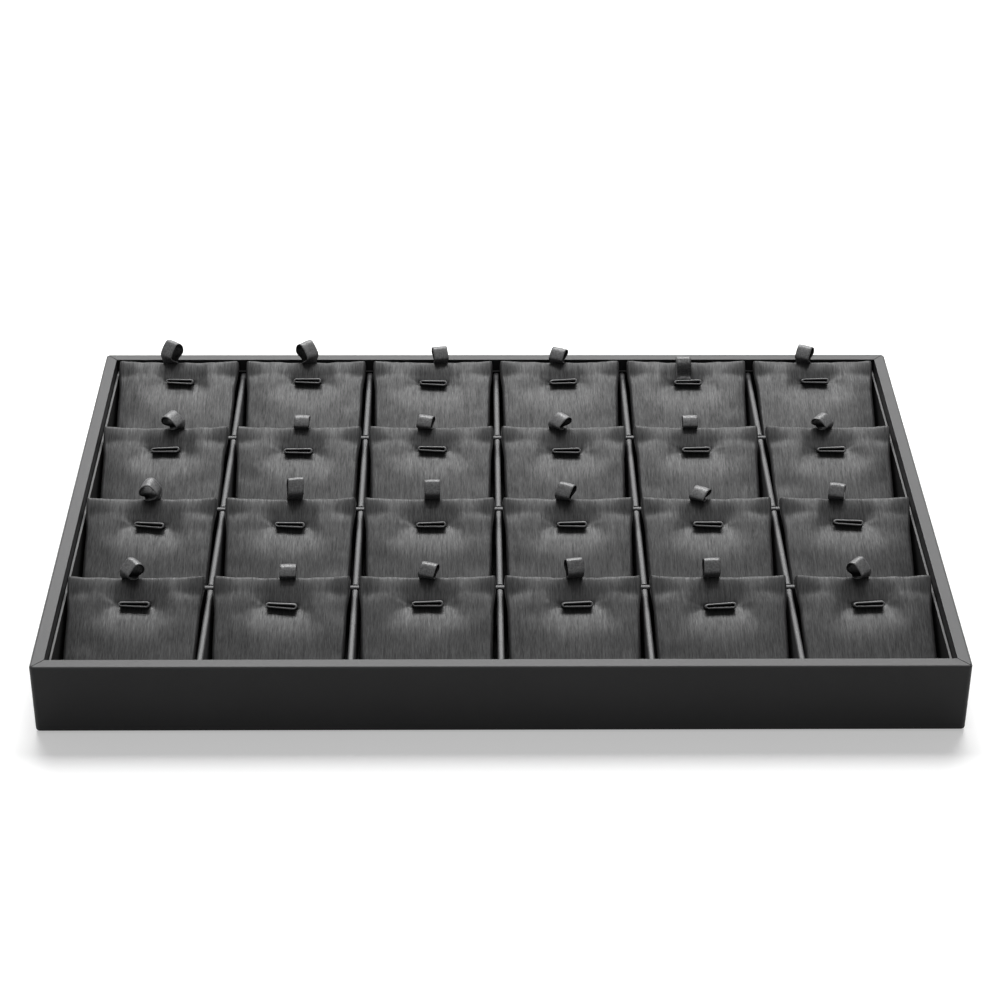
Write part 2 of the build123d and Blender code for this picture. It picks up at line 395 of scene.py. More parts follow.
def satin(name, base, shine):
    """Black satin with fine ribs along the ribbon."""
    made = Shader(name)
    threads = made.noise((2400, 700, 700), detail=3.0, roughness=0.7)
    weave = made.noise((900, 900, 2600), detail=2.0)
    mixed = made.blend(threads, weave, 0.6)
    colour = made.ramp(mixed, ((0.35, shade(base, 0.5)), (0.65, shade(base, 1.6))))
    gloss = made.range(mixed, shine[0], shine[1], 0.36, 0.64)
    made.link(gloss, made.surface.inputs["Specular IOR Level"])
    rough = made.range(mixed, 0.52, 0.42, 0.3, 0.7)
    return made.finish(colour, rough, made.bump(mixed, 0.4, 0.0001))


def covered_card(name, base, painted_top_highlight=None):
    """Black card with a trace of paper fibre, and, where given, a painted highlight: a paler
    colour where it faces up.
    """
    made = Shader(name)
    fibre = made.noise((700, 700, 700), detail=6.0, roughness=0.7)
    colour = made.ramp(fibre, ((0.3, shade(base, 0.8)), (0.7, shade(base, 1.25))))
    # painted highlight: the colour turns pale where the surface faces up
    if painted_top_highlight is not None:
        mix = made.node("ShaderNodeMix", data_type="RGBA")
        made.link(made.range(made.facing_up(), 0.0, 1.0, 0.9, 0.95), mix.inputs[0])
        made.link(colour, mix.inputs[6])
        mix.inputs[7].default_value = (*painted_top_highlight, 1.0)
        colour = mix.outputs[2]
    rough = made.range(fibre, 0.62, 0.78)
    normal = made.bump(fibre, 0.15, 0.00006)
    return made.finish(colour, rough, normal, [("Specular IOR Level", 0.15)])


def flocked_sheet(base):
    """Short black flock on paper."""
    made = Shader("flocked_sheet")
    flock = made.noise((3200, 3200, 3200), detail=2.0)
    blotch = made.noise((40, 40, 40), detail=4.0)
    mixed = made.blend(flock, blotch, 0.7)
    colour = made.ramp(mixed, ((0.35, shade(base, 0.7)), (0.65, shade(base, 1.4))))
    return made.finish(colour, 0.95, made.bump(flock, 0.4, 0.0001), [("Sheen Weight", 0.15)])


def fibreboard(base):
    """Raw board under the cover."""
    made = Shader("fibreboard")
    fibre = made.noise((500, 140, 500), detail=6.0, roughness=0.7)
    colour = made.ramp(fibre, ((0.3, shade(base, 0.75)), (0.7, shade(base, 1.2))))
    return made.finish(colour, 0.8, made.bump(fibre, 0.2, 0.0001))


# Pieces of a pad

def from_slit(x, t, seat):
    """A spot's place in the slit's own directions: along it, and down the slope from it."""
    turn = math.radians(seat[2])
    dx = x - seat[0]
    dt = t - (LOOP_FROM_TOP / MM + seat[1])
    along = dx * math.cos(turn) - dt * math.sin(turn)
    down = dx * math.sin(turn) + dt * math.cos(turn)
    return along, down


def dimple(along, down, slit_t, width):
    """How far the slit draws the cover down, and how far the foam swells below it."""
    inner = width * 0.6 + 0.15 * max(down, 0)
    outer = width * 1.2 + 0.25 * max(down, 0)
    trough = 1 - smooth_step(inner, outer, abs(along))
    soften = 0.2 + 3.2 * smooth_step(5.9, 8.5, abs(along))
    steps = (-1, -0.5, 0, 0.5, 1)
    fall = 0.0
    for step in steps:
        place = down + step * soften
        if place < 0:
            above = 0.12 + 0.88 * min(max(1 + place / slit_t, 0), 1) ** 1.15
            fall += above / len(steps)
        else:
            fall += math.exp(-place / DIMPLE_FADE) / len(steps)
    swell = trough * smooth_step(1, 9, down) * (1 - smooth_step(9, 28, down))
    return DIMPLE_DEPTH * trough * fall, SWELL_HEIGHT * swell


def crease_depth(along, down):
    """Depth of the two small folds that start at each end of the slit."""
    depth = 0.0
    for side, strength in ((-1, 0.85), (1, 0.3)):
        reach = along * side - 6.0
        if reach > -1.5:
            upper = math.exp(-((down + 0.5 * reach - 0.4) / 1.0) ** 2)
            lower = math.exp(-((down - 0.5 * reach - 1.0) / 1.0) ** 2)
            fade = smooth_step(-1.5, 0, reach) * math.exp(-max(reach, 0) / 2.0)
            depth += strength * fade * (0.75 * upper + 0.4 * lower)
    return depth


def ripples(x, t, seed):
    """The cover's slight unevenness: broad, fine, and in short folds along its top."""
    broad = noise.noise(Vector((x / 6.0 + seed, t / 15.0, seed)))
    fine = noise.noise(Vector((x / 2.4 - seed, t / 9.0, 5.0)))
    fold = noise.noise(Vector((x / 1.7 + seed, 9.0, seed))) * (1 - smooth_step(1, 7, t))
    return 0.20 * broad + 0.05 * fine + 0.12 * fold


def cushion_height(x, t, half, seed, seat):
    """Height of the cushion's face over the card at x across and t from the top, in millimetres.

    Gives the place in the slit's own directions too: along it, and down the slope from it.
    """
    along, down = from_slit(x, t, seat)
    u = min(abs(x) / half, 1.0)
    share = t * MM / CUSHION_LENGTH
    height = FOAM_HEIGHT + CROWN_HEIGHT * (1 - u ** 2.6) * (1 - abs(2 * share - 1) ** 5)
    height += TOP_ROLL_HEIGHT * (1 - smooth_step(0, TOP_ROLL_REACH, t))
    height += CORNER_HEIGHT * smooth_step(0.62, 1.0, u) * (1 - smooth_step(0, CORNER_REACH, t))
    side = math.copysign(2, x - seat[0])
    width = DIMPLE_WIDTH + 2.0 * noise.noise(Vector((seed, 3.1, side)))
    drawn, swell = dimple(along, down, LOOP_FROM_TOP / MM + seat[1], width)
    height += swell - drawn - crease_depth(along, down) + ripples(x, t, seed)
    return height, along, down


def cushion_half(t, low_half):
    """Half the cushion's width: it flares towards its top corners."""
    share = t * MM / CUSHION_LENGTH
    taper = 0.55 * (1 - smooth_step(0.3, 1, share))
    flare = 1.15 * (1 - smooth_step(0, 0.3, share))
    return low_half - 0.55 + taper + flare


def cover_seed(row, column):
    """Makes each cover's folds its own."""
    return row * 7.3 + column * 2.9


def settle_covers(cloth):
    """Lets every pad's cover settle as cloth, held round its edge and in its slit.

    Gives, for each pad, a grid of how far its face moved out of the card, in millimetres.
    """
    flat = {tag: [0.0] * (SHEET_ROWS * SHEET_COLUMNS) for _, _, tag in every_pad()}
    if cloth.frames == 0:
        return flat
    length = CUSHION_LENGTH / MM
    points, faces, held = [], [], []
    for row, column, tag in every_pad():
        low_half = pad_half(tag)
        seed = cover_seed(row, column)
        seat = LOOP_SEATS[row][column]
        start = len(points)
        for r in range(SHEET_ROWS):
            t = length * r / (SHEET_ROWS - 1)
            half = cushion_half(t, low_half)
            for c in range(SHEET_COLUMNS):
                x = (2 * c / (SHEET_COLUMNS - 1) - 1) * half
                height, along, down = cushion_height(x, t, half, seed, seat)
                if r in (0, SHEET_ROWS - 1) or c in (0, SHEET_COLUMNS - 1):
                    held.append(len(points))
                elif abs(along) < 6.8 and -1.4 < down < 1.9:
                    held.append(len(points))
                place = (x + SHEET_SPACING * column, -t - SHEET_SPACING * row, height)
                points.append(tuple(value * SHEET_SCALE for value in place))
        faces += [tuple(reversed(f)) for f in grid_faces(SHEET_ROWS, SHEET_COLUMNS, start)]
    mesh = bpy.data.meshes.new("cover_sheets")
    mesh.from_pydata(points, [], faces)
    sheets = bpy.data.objects.new("cover_sheets", mesh)
    bpy.context.scene.collection.objects.link(sheets)
    group = sheets.vertex_groups.new(name="held")
    group.add(held, 1.0, "REPLACE")
    modifier = sheets.modifiers.new("cloth", "CLOTH")
    use = modifier.settings
    use.quality = 5
    use.mass = 0.2
    use.tension_stiffness = cloth.stiffness
    use.compression_stiffness = cloth.stiffness
    use.shear_stiffness = cloth.stiffness / 3
    use.bending_stiffness = cloth.bending
    use.air_damping = 4.0
    use.vertex_group_mass = "held"
    use.shrink_min = -cloth.slack
    use.use_pressure = True
    use.uniform_pressure_force = cloth.pressure
    use.effector_weights.gravity = 0.0
    modifier.collision_settings.use_collision = False
    modifier.point_cache.frame_start = 1
    modifier.point_cache.frame_end = cloth.frames
    scene = bpy.context.scene
    for frame_number in range(1, cloth.frames + 1):
        scene.frame_set(frame_number)
    settled = sheets.evaluated_get(bpy.context.evaluated_depsgraph_get()).to_mesh()
    count = SHEET_ROWS * SHEET_COLUMNS
    for index, (_, _, tag) in enumerate(every_pad()):
        moved = []
        for place in range(index * count, (index + 1) * count):
            change = (settled.vertices[place].co.z - points[place][2]) / SHEET_SCALE
            moved.append(max(min(change, cloth.cap / MM), -cloth.cap / MM))
        flat[tag] = moved
    scene.frame_set(1)
    bpy.data.objects.remove(sheets)
    bpy.data.meshes.remove(mesh)
    return flat


def moved_by(sheet, u, t):
    """How far the settled sheet moved at u across, from -1 to 1, and t from the top."""
    column = (min(max(u, -1.0), 1.0) + 1) / 2 * (SHEET_COLUMNS - 1)
    row = min(max(t * MM / CUSHION_LENGTH, 0.0), 1.0) * (SHEET_ROWS - 1)
    c = min(int(column), SHEET_COLUMNS - 2)
    r = min(int(row), SHEET_ROWS - 2)
    a = sheet[r * SHEET_COLUMNS + c:r * SHEET_COLUMNS + c + 2]
    b = sheet[(r + 1) * SHEET_COLUMNS + c:(r + 1) * SHEET_COLUMNS + c + 2]
    upper = a[0] + (a[1] - a[0]) * (column - c)
    lower = b[0] + (b[1] - b[0]) * (column - c)
    return upper + (lower - upper) * (row - r)


def make_cushion(row, column, tag, material, sheet):
    """The padded top: crowned, drawn in between its corners, pulled down at the slit."""
    low_half = pad_half(tag)
    length = CUSHION_LENGTH / MM
    seed = cover_seed(row, column)
    seat = LOOP_SEATS[row][column]
    slit_x = seat[0]
    slit_t = LOOP_FROM_TOP / MM + seat[1]
    turn = math.radians(seat[2])
    slit_ends = ((slit_x - SLIT_HALF) / low_half, (slit_x + SLIT_HALF) / low_half)
    columns = spread((-1, -0.945, *slit_ends, 0.945, 1), (6, 22, 16, 22, 6))
    slit_edges = (slit_t + SLIT_ABOVE, slit_t + SLIT_BELOW)
    rows = spread(
        (0, TOP_ROLL, *slit_edges, slit_t + 10, length - SIDE_ROLL, length),
        (5, 12, 6, 14, 26, 5),
    )
    matrix = slope_matrix(tag)
    points = []
    for t in rows:
        half = cushion_half(t, low_half)
        for u in columns:
            flat_x = u * half
            dx = flat_x - slit_x
            dt = t - slit_t
            near = math.exp(-((dx / 11) ** 2 + (dt / 5) ** 2))
            x = flat_x + near * (dx * (math.cos(turn) - 1) + dt * math.sin(turn))
            place = t + near * (-dx * math.sin(turn) + dt * (math.cos(turn) - 1))
            height, along, down = cushion_height(x, place, half, seed, seat)
            height += moved_by(sheet, x / half, place)
            side = 1 - (1 - min((half - abs(flat_x)) / SIDE_ROLL, 1.0)) ** 2
            top = 1 - (1 - min(t / TOP_ROLL, 1.0)) ** 2
            foot = 1 - (1 - min((length - t) / SIDE_ROLL, 1.0)) ** 2
            height *= math.sqrt(max(min(side, top, foot), 0.0))
            if abs(along) < SLIT_HALF - 0.1 and SLIT_ABOVE + 0.1 < down < SLIT_BELOW - 0.1:
                height = min(height, 0.25)
            upright = math.tan(PAD_SLOPE) * height
            upright *= 1 - smooth_step(0, 5, t) + smooth_step(length - 5, length, t)
            v = length + 0.45 * (1 - smooth_step(0, 5, t)) - place + upright
            points.append(matrix @ Vector((x * MM, v * MM, max(height, 0.0) * MM)))
    count = len(columns)
    faces = [tuple(reversed(face)) for face in grid_faces(len(rows), count)]
    border = [i for i in range(count)]
    border += [r * count + count - 1 for r in range(1, len(rows))]
    border += [(len(rows) - 1) * count + i for i in range(count - 2, -1, -1)]
    border += [r * count for r in range(len(rows) - 2, 0, -1)]
    faces.append(tuple(border))
    piece = new_piece(f"cushion_{tag}", points, faces, material)
    piece.data.polygons[-1].use_smooth = False
    return piece


def make_card(tag, material):
    """The folded card: sloping panel and back leg, with a rounded fold."""
    middle, back, foot = pad_middle(tag)
    half = pad_half(tag) * MM - CARD_SIDE_INSET
    inner = PAD_DEPTH - CARD_THICKNESS
    rise = (CARD_BACK_HEIGHT - CARD_FRONT_HEIGHT) / PAD_DEPTH
    profile = [(0.0, 0.0), (0.0, CARD_FRONT_HEIGHT)]
    radius = CARD_FOLD_RADIUS
    centre_y = PAD_DEPTH - radius
    centre_z = CARD_FRONT_HEIGHT + rise * centre_y - radius / math.cos(PAD_SLOPE)
    turn = math.pi / 2 + PAD_SLOPE
    for step in range(7):
        angle = turn - turn * step / 6
        profile.append((centre_y + radius * math.cos(angle), centre_z + radius * math.sin(angle)))
    profile += [(PAD_DEPTH, 0.0), (inner, 0.0), (inner, inner * rise)]
    points = []
    for side in (-half, half):
        for y, z in profile:
            points.append((middle + side, back - PAD_DEPTH + y, foot + z))
    count = len(profile)
    faces = [(i, (i + 1) % count, count + (i + 1) % count, count + i) for i in range(count)]
    faces.append(tuple(reversed(range(count))))
    faces.append(tuple(range(count, 2 * count)))
    return new_piece(f"card_{tag}", points, faces, material, smooth=False)


def racetrack(width, height, corners=6):
    """Points round a flat loop with half round ends."""
    radius = height / 2
    points = []
    for side, start in ((1, math.pi / 2), (-1, math.pi * 1.5)):
        for step in range(corners + 1):
            angle = start - math.pi * step / corners
            across = side * (width / 2 - radius) + radius * math.cos(angle)
            points.append((across, radius * math.sin(angle)))
    return points


def make_hanging_loop(row, column, tag, material, painted_lip_highlight):
    """A flattened leatherette tube that stands out of the slit and droops a little; its pale lip
    is a painted highlight.
    """
    seat = LOOP_SEATS[row][column]
    seed = row * 3.7 + column * 1.9
    matrix = slope_matrix(tag)
    place = Matrix.Translation((seat[0] * MM, CUSHION_LENGTH - LOOP_FROM_TOP - seat[1] * MM, 0))
    place = place @ Matrix.Rotation(math.radians(seat[2]), 4, "Z")
    stations = spread((0.0, LOOP_REACH * 0.5, LOOP_REACH), (2, 5))
    rings = [(station, 0.0) for station in stations]
    for step in (1, 2, 3, 4):
        angle = math.pi * step / 5
        inset = LOOP_WALL * (1 - math.cos(angle)) / 2
        rings.append((LOOP_REACH + LOOP_WALL / 2 * math.sin(angle), inset))
    rings += [(station, LOOP_WALL) for station in reversed(stations)]
    points = []
    count = 0
    for station, inset in rings:
        share = min(station / LOOP_REACH, 1.0)
        height = (LOOP_FOOT_HEIGHT + LOOP_LIP_SPREAD * share) * MM
        outline = racetrack(LOOP_WIDTH - 2 * inset, max(height - 2 * inset, 0.3 * MM))
        count = len(outline)
        droop = Matrix.Rotation(math.radians(12 + 16 * share), 4, "X")
        for x, y in outline:
            wobble = 0.22 * MM * noise.noise(Vector((x / (4 * MM), share * 2, seed))) * share
            sag = -0.18 * MM * share * math.cos(x / LOOP_WIDTH * math.pi)
            pinch = 1 - 0.35 * share * smooth_step(0.25, 0.5, -x / LOOP_WIDTH)
            bent = droop @ Vector((x, y * pinch + wobble + sag * (1 if y > 0 else 0.4), station))
            points.append(matrix @ place @ bent)
    faces = [tuple(reversed(face)) for face in grid_faces(len(rings), count, closed=True)]
    piece = new_piece(f"hanging_loop_{tag}", points, faces, material)
    piece.data.materials.append(painted_lip_highlight)
    # the rings round the lip take the pale material, a painted highlight
    first = (len(stations) - 2) * count
    for face in piece.data.polygons:
        if first <= face.index < first + PAINTED_HIGHLIGHT_RINGS * count:
            face.material_index = 1
    return piece


def ribbon_path(tall, depth):
    """The ribbon seen from its side, from its tail on the leg, round the loop and down again."""
    thickness = RIBBON_THICKNESS
    neck = CARD_BACK_HEIGHT - CARD_FOLD_RADIUS
    tail = neck - RIBBON_TAIL
    start = CARD_BACK_HEIGHT + 1.6 * MM
    top = CARD_BACK_HEIGHT + 2.6 * MM + tall * MM
    middle = (start + top) / 2
    rise = (top - start) / 2
    path = [(thickness * 0.6, tail + (neck - tail) * step / 5) for step in range(6)]
    path += [(thickness * 0.6, neck + (start - neck) * step / 3) for step in range(1, 3)]
    for step in range(LOOP_STEPS + 1):
        angle = -math.pi / 2 + 2 * math.pi * step / LOOP_STEPS
        belly = 0.25 + 0.75 * smooth_step(0, 0.55, (math.sin(angle) + 1) / 2)
        out = depth / 2 * MM * math.cos(angle) * belly
        if math.cos(angle) < 0:
            out -= 0.5 * depth / 2 * MM * math.sin(angle) * math.cos(angle)
        path.append((thickness + 0.5 * MM * smooth_step(-1, 0, math.sin(angle)) + out,
                     middle + rise * math.sin(angle)))
    path += [(thickness * 1.7, start + (neck - start) * step / 3) for step in range(1, 3)]
    path += [(thickness * 1.7, neck + (tail - neck) * step / 5) for step in range(6)]
    return path, start, top


def make_ribbon(row, column, tag, material, back_side):
    """A satin strip, glued up the back of the leg, that stands over the pad in a loop."""
    lean, turn, back_lean, tall, depth, aside = RIBBON_BENDS[row][column]
    seed = row * 5.1 + column * 3.3
    middle, back, foot = pad_middle(tag)
    middle += aside * MM
    path, start, top = ribbon_path(tall, depth)
    angle = math.radians(turn)
    behind = RIBBON_WIDTH / 2 * abs(math.sin(angle)) + depth / 2 * MM * math.cos(angle)
    behind += 0.8 * MM
    forward = 0.0 if row == 0 else min(0.0, ROOM_BEHIND - behind)
    rows = []
    for y, z in path:
        above = max(z - start, 0.0)
        share = above / (top - start)
        twist = Matrix.Rotation(math.radians(turn) * smooth_step(0, 0.45, share), 4, "Z")
        line = []
        for step in range(RIBBON_COLUMNS):
            across = step / (RIBBON_COLUMNS - 1)
            x = (across - 0.5) * RIBBON_WIDTH
            cup = -0.25 * MM * (2 * across - 1) ** 2 * share
            ripple = 0.16 * MM * noise.noise(Vector((x / (2.5 * MM), z / (3 * MM), seed)))
            spot = twist @ Vector((x, y + cup + ripple * share, 0))
            rear = math.radians(back_lean) * smooth_step(0, 0.8, share)
            spot.x += math.tan(math.radians(lean)) * above
            spot.y += math.sin(rear) * above + forward * smooth_step(0, 0.3, share)
            height = z - above + above * math.cos(rear)
            line.append(Vector((middle + spot.x, back + spot.y, foot + height)))
        rows.append(line)
    piece = thick_strip(f"pull_ribbon_{tag}", rows, RIBBON_THICKNESS, material)
    piece.data.materials.append(back_side)
    for face in piece.data.polygons[:(len(rows) - 1) * (RIBBON_COLUMNS - 1)]:
        face.material_index = 1
    return piece


def thick_strip(name, rows, thickness, material):
    """A closed strip: the same grid of points on both of its faces."""
    count = len(rows[0])
    total = len(rows)
    points = []
    for side in (0.5, -0.5):
        for r in range(total):
            for c in range(count):
                up = rows[min(r + 1, total - 1)][c] - rows[max(r - 1, 0)][c]
                across = rows[r][min(c + 1, count - 1)] - rows[r][max(c - 1, 0)]
                points.append(rows[r][c] + across.cross(up).normalized() * thickness * side)
    faces = grid_faces(total, count)
    faces += [tuple(reversed(face)) for face in grid_faces(total, count, total * count)]
    other = total * count
    for r in range(total - 1):
        for c in (0, count - 1):
            a = r * count + c
            b = a + count
            quad = (a, b, b + other, a + other)
            faces.append(quad if c == 0 else tuple(reversed(quad)))
    for r in (0, total - 1):
        for c in range(count - 1):
            a = r * count + c
            quad = (a + 1, a, a + other, a + 1 + other)
            faces.append(quad if r == 0 else tuple(reversed(quad)))
    faces = [tuple(reversed(face)) for face in faces]
    return new_piece(name, points, faces, material)


# Settings

class TrayFinish(bpy.types.PropertyGroup):
    """Colours and gloss of the tray's leatherette, pads and ribbons."""

    cover_colour: FloatVectorProperty(
        name="Cover", description="Colour of the smooth leatherette",
        subtype="COLOR", size=3, min=0, max=1, default=(0.015, 0.015, 0.0155),
    )
    cover_roughness: FloatProperty(
        name="Cover roughness", description="Roughness of the smooth leatherette",
        subtype="FACTOR", min=0, max=1, default=0.46,
    )
    pad_colour: FloatVectorProperty(
        name="Pads", description="Colour of the brushed leatherette on the pads",
        subtype="COLOR", size=3, min=0, max=1, default=(0.030, 0.030, 0.0304),
    )
    ribbon_colour: FloatVectorProperty(
        name="Ribbons", description="Colour of the satin pull ribbons",
        subtype="COLOR", size=3, min=0, max=1, default=(0.026, 0.026, 0.027),
    )


class TrayCloth(bpy.types.PropertyGroup):
    """How the pads' covers settle over their foam."""

    frames: IntProperty(
        name="Frames", description="Steps of the cloth simulation, none where it is 0",
        min=0, max=60, default=12,
    )
    slack: FloatProperty(
        name="Slack", description="How much larger the cover is cut than the foam",
        subtype="FACTOR", min=0, max=0.1, default=0.0012,
    )
    stiffness: FloatProperty(
        name="Stiffness", description="Stiffness of the cover against stretch",
        min=0, max=100, default=15.0,
    )
    bending: FloatProperty(
        name="Bending", description="Stiffness of the cover against bends",
        min=0, max=20, default=4.0,
    )
    pressure: FloatProperty(
        name="Pressure", description="How hard the foam pushes out",
        min=0, max=10, default=0.4,
    )
    cap: FloatProperty(
        name="Cap", description="The farthest that the cover may move",
        subtype="DISTANCE", min=0, max=0.003, default=0.0009,
    )


class TrayStage(bpy.types.PropertyGroup):
    """Camera, lamps and background."""

    lens: FloatProperty(
        name="Lens", description="Focal length of the camera",
        subtype="DISTANCE_CAMERA", min=20, max=200, default=91.1,
    )
    overhead_power: FloatProperty(
        name="Overhead lamp", description="Power of the soft lamp above and behind",
        unit="POWER", min=0, default=22.0,
    )
    back_power: FloatProperty(
        name="Back lamp", description="Power of the low soft lamp behind, which the rim mirrors",
        unit="POWER", min=0, default=13.0,
    )
    front_power: FloatProperty(
        name="Front lamp", description="Power of the weak lamp in front",
        unit="POWER", min=0, default=0.8,
    )
    fill: FloatProperty(
        name="Fill", description="Light that comes evenly from all round",
        min=0, max=2, default=0.22,
    )


# Operators

class TRAY_OT_cover(bpy.types.Operator):
    """Give the boards, cover, lining and underside their finishes"""

    bl_idname = "tray.cover"
    bl_label = "Cover the tray"

    def execute(self, context):
        finish = context.scene.tray_finish
        cover = smooth_leatherette(
            "smooth_leatherette", finish.cover_colour, finish.cover_roughness
        )
        board = fibreboard((0.32, 0.23, 0.14))
        flock = flocked_sheet((0.012, 0.012, 0.0125))
        dress(("outer_cover",), cover)
        dress(("base_board", "front_wall", "back_wall", "left_wall", "right_wall"), board)
        dress(("floor_lining", "underside_sheet"), flock)
        return {"FINISHED"}


class TRAY_OT_insert(bpy.types.Operator):
    """Give the lift-out insert and its dividers their finishes"""

    bl_idname = "tray.insert"
    bl_label = "Finish the insert"

    def execute(self, context):
        finish = context.scene.tray_finish
        # painted light: the dividers take the cover's leatherette made 2.2 times lighter, for the
        # light on their flat tops
        painted_light_divider = smooth_leatherette(
            "divider_leatherette", shade(finish.cover_colour, 2.2), 0.5, (0.2, 0.42)
        )
        floor_card = covered_card("insert_card", (0.008, 0.008, 0.008))
        # the pale grey on the wall tops is a painted highlight
        wall_card_with_painted_highlight = covered_card("insert_wall_card", (0.006, 0.006, 0.006), (0.16, 0.16, 0.16))
        dress(("long_dividers", "cross_dividers"), painted_light_divider)
        dress(("insert_floor",), floor_card)
        dress(("insert_walls",), wall_card_with_painted_highlight)
        return {"FINISHED"}


class TRAY_OT_pads(bpy.types.Operator):
    """Make the padded cushion and the folded card of each pad"""

    bl_idname = "tray.pads"
    bl_label = "Make the pads"

    def execute(self, context):
        leatherette = brushed_leatherette(context.scene.tray_finish)
        card = covered_card("pad_card", (0.03, 0.03, 0.031))
        settled = settle_covers(context.scene.tray_cloth)
        for row, column, tag in every_pad():
            cushion = make_cushion(row, column, tag, leatherette, settled[tag])
            folded = make_card(tag, card)
            for piece in (cushion, folded):
                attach(piece, f"pad_{tag}")
                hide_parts(f"pad_{tag}")
        return {"FINISHED"}


class TRAY_OT_loops(bpy.types.Operator):
    """Make the leatherette loop that stands out of each pad's slit"""

    bl_idname = "tray.loops"
    bl_label = "Make the hanging loops"

    def execute(self, context):
        colour = context.scene.tray_finish.pad_colour
        leatherette = smooth_leatherette("loop_leatherette", shade(colour, 0.5), 0.4)
        # painted highlight: the lip's leatherette is 4.4 times lighter than the pad colour
        painted_lip_highlight = smooth_leatherette("loop_lip", shade(colour, 4.4), 0.4, (0.4, 0.4))
        for row, column, tag in every_pad():
            loop = make_hanging_loop(row, column, tag, leatherette, painted_lip_highlight)
            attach(loop, f"pad_{tag}")
            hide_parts(f"loops_{tag}")
        return {"FINISHED"}


class TRAY_OT_ribbons(bpy.types.Operator):
    """Make the satin ribbon that pulls each pad out"""

    bl_idname = "tray.ribbons"
    bl_label = "Make the pull ribbons"

    def execute(self, context):
        colour = context.scene.tray_finish.ribbon_colour
        cloth = satin("satin_ribbon", colour, (0.5, 1.0))
        dull = satin("satin_back", shade(colour, 0.35), (0.05, 0.2))
        for row, column, tag in every_pad():
            ribbon = make_ribbon(row, column, tag, cloth, dull)
            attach(ribbon, f"pad_{tag}")
            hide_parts(f"loops_{tag}")
        return {"FINISHED"}


class TRAY_OT_stage(bpy.types.Operator):
    """Set up the camera, the lamps, the floor and the white background"""

    bl_idname = "tray.stage"
    bl_label = "Set the stage"

    def execute(self, context):
        stage = context.scene.tray_stage
        place_camera(stage)
        place_floor()
        for name, place, size, power in LAMPS:
            area_lamp(name, place, size, getattr(stage, power))
        white_world(stage.fill)
        context.scene.view_settings.view_transform = "Standard"
        return {"FINISHED"}


def dress(nodes, material):
    """Give CAD nodes one material."""
    for name in nodes:
        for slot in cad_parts[name].material_slots:
            slot.material = material


# Stage

def place_camera(stage):
    """Put the camera where the photo was taken from."""
    level = math.cos(CAMERA_PITCH)
    forward = Vector((
        math.sin(CAMERA_YAW) * level, math.cos(CAMERA_YAW) * level, -math.sin(CAMERA_PITCH)
    ))
    right = Vector((math.cos(CAMERA_YAW), -math.sin(CAMERA_YAW), 0))
    up = right.cross(forward)
    turned_right = math.cos(CAMERA_ROLL) * right + math.sin(CAMERA_ROLL) * up
    turned_up = -math.sin(CAMERA_ROLL) * right + math.cos(CAMERA_ROLL) * up
    data = bpy.data.cameras.new("camera")
    data.lens = stage.lens
    data.sensor_width = SENSOR_WIDTH
    camera = bpy.data.objects.new("camera", data)
    rotation = Matrix((turned_right, turned_up, -forward)).transposed()
    camera.matrix_world = Matrix.Translation(CAMERA_PLACE) @ rotation.to_4x4()
    bpy.context.scene.collection.objects.link(camera)
    bpy.context.scene.camera = camera


def area_lamp(name, place, size, power):
    """A soft lamp that points at the tray."""
    data = bpy.data.lights.new(name, "AREA")
    data.shape = "RECTANGLE"
    data.size = size[0]
    data.size_y = size[1]
    data.energy = power
    lamp = bpy.data.objects.new(name, data)
    lamp.location = place
    lamp.rotation_euler = (-Vector(place)).to_track_quat("-Z", "Y").to_euler()
    bpy.context.scene.collection.objects.link(lamp)


def seen_directly(tree):
    """One for camera, glossy and transmission rays, and nought for the rest."""
    path = tree.nodes.new("ShaderNodeLightPath")
    seen = path.outputs["Is Camera Ray"]
    for other in ("Is Glossy Ray", "Is Transmission Ray"):
        either = tree.nodes.new("ShaderNodeMath")
        either.operation = "MAXIMUM"
        tree.links.new(seen, either.inputs[0])
        tree.links.new(path.outputs[other], either.inputs[1])
        seen = either.outputs["Value"]
    return seen


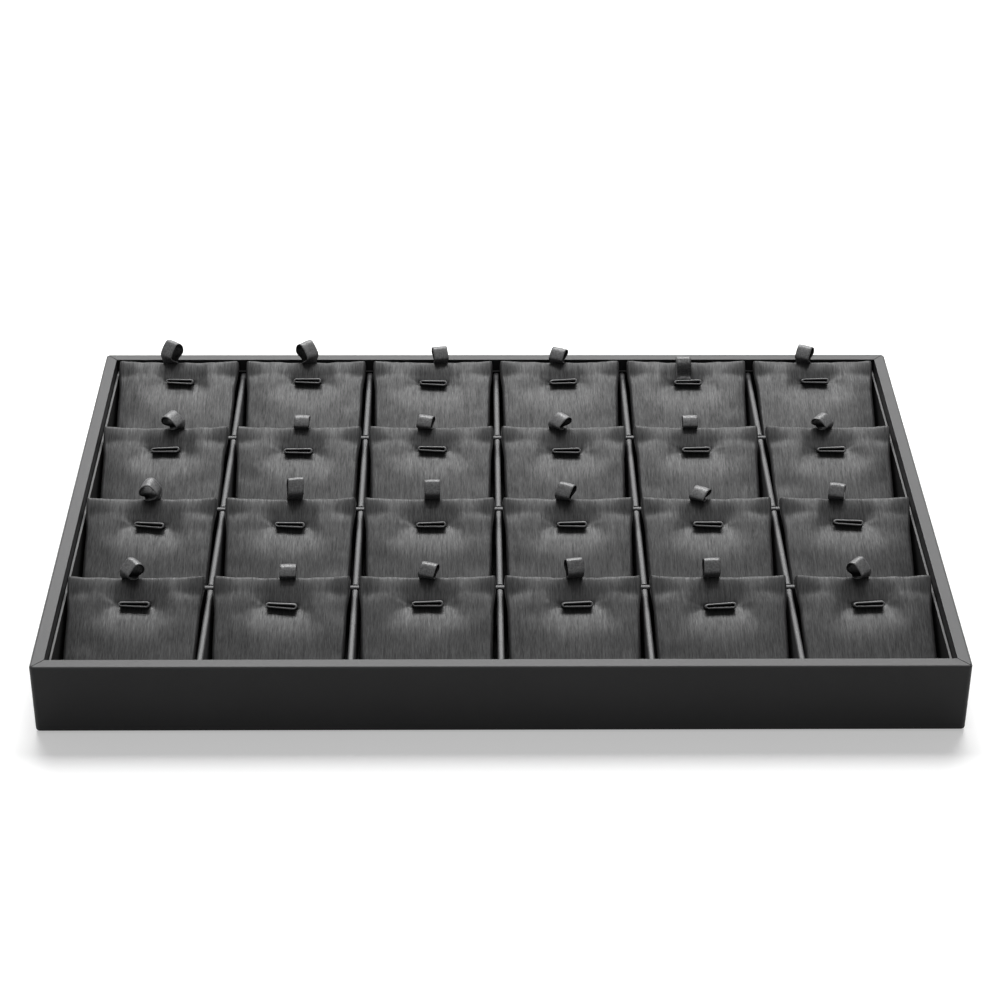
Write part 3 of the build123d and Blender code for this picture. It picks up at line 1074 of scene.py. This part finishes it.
def place_floor():
    """A pale floor that takes the tray's soft shadow."""
    size = FLOOR_HALF
    corners = [(-size, -size, 0), (size, -size, 0), (size, size, 0), (-size, size, 0)]
    material = bpy.data.materials.new("floor")
    floor = new_piece("floor", corners, [(0, 1, 2, 3)], material)
    floor.location.z = -FLOOR_DROP
    material.use_nodes = True
    tree = material.node_tree
    tree.nodes.clear()
    output = tree.nodes.new("ShaderNodeOutputMaterial")
    diffuse = tree.nodes.new("ShaderNodeBsdfDiffuse")
    diffuse.inputs["Color"].default_value = (FLOOR_GREY, FLOOR_GREY, FLOOR_GREY, 1)
    glow = tree.nodes.new("ShaderNodeEmission")
    where = tree.nodes.new("ShaderNodeTexCoord")
    away = tree.nodes.new("ShaderNodeVectorMath")
    away.operation = "LENGTH"
    tree.links.new(where.outputs["Object"], away.inputs[0])
    rise = tree.nodes.new("ShaderNodeMapRange")
    rise.interpolation_type = "SMOOTHSTEP"
    rise.inputs["From Min"].default_value = GLOW_START
    rise.inputs["From Max"].default_value = GLOW_END
    rise.inputs["To Min"].default_value = GLOW_NEAR
    rise.inputs["To Max"].default_value = GLOW_FAR
    tree.links.new(away.outputs["Value"], rise.inputs["Value"])
    strength = tree.nodes.new("ShaderNodeMath")
    strength.operation = "MULTIPLY"
    tree.links.new(seen_directly(tree), strength.inputs[0])
    tree.links.new(rise.outputs["Result"], strength.inputs[1])
    tree.links.new(strength.outputs["Value"], glow.inputs["Strength"])
    both = tree.nodes.new("ShaderNodeAddShader")
    tree.links.new(diffuse.outputs["BSDF"], both.inputs[0])
    tree.links.new(glow.outputs["Emission"], both.inputs[1])
    tree.links.new(both.outputs["Shader"], output.inputs["Surface"])


def white_world(fill):
    """White where it is seen, and a weak even light elsewhere."""
    world = bpy.data.worlds.new("world")
    bpy.context.scene.world = world
    world.use_nodes = True
    tree = world.node_tree
    background = tree.nodes["Background"]
    background.inputs["Color"].default_value = (1, 1, 1, 1)
    mix = tree.nodes.new("ShaderNodeMapRange")
    mix.inputs["To Min"].default_value = fill
    mix.inputs["To Max"].default_value = 1.0
    tree.links.new(seen_directly(tree), mix.inputs["Value"])
    tree.links.new(mix.outputs["Result"], background.inputs["Strength"])


class TRAY_PT_panel(bpy.types.Panel):
    """Lists the tray's settings and the steps that dress it"""

    bl_idname = "TRAY_PT_panel"
    bl_label = "Pendant display tray"
    bl_space_type = "VIEW_3D"
    bl_region_type = "UI"
    bl_category = "Display Tray"

    def draw(self, context):
        layout = self.layout
        scene = context.scene
        for group in (scene.tray_finish, scene.tray_cloth, scene.tray_stage):
            box = layout.box()
            for name in group.__annotations__:
                box.prop(group, name)
        for step in STEPS:
            layout.operator(step.bl_idname)


STEPS = (
    TRAY_OT_stage,
    TRAY_OT_cover,
    TRAY_OT_insert,
    TRAY_OT_pads,
    TRAY_OT_loops,
    TRAY_OT_ribbons,
)
CLASSES = (TrayFinish, TrayCloth, TrayStage, *STEPS, TRAY_PT_panel)


def register():
    for cls in CLASSES:
        bpy.utils.register_class(cls)
    bpy.types.Scene.tray_finish = PointerProperty(type=TrayFinish)
    bpy.types.Scene.tray_cloth = PointerProperty(type=TrayCloth)
    bpy.types.Scene.tray_stage = PointerProperty(type=TrayStage)


def unregister():
    del bpy.types.Scene.tray_stage
    del bpy.types.Scene.tray_cloth
    del bpy.types.Scene.tray_finish
    for cls in reversed(CLASSES):
        bpy.utils.unregister_class(cls)


def main():
    """Dress the tray step by step."""
    register()
    bpy.ops.tray.stage()
    bpy.ops.tray.cover()
    bpy.ops.tray.insert()
    bpy.ops.tray.pads()
    bpy.ops.tray.loops()
    bpy.ops.tray.ribbons()


if __name__ == "__main__":
    main()
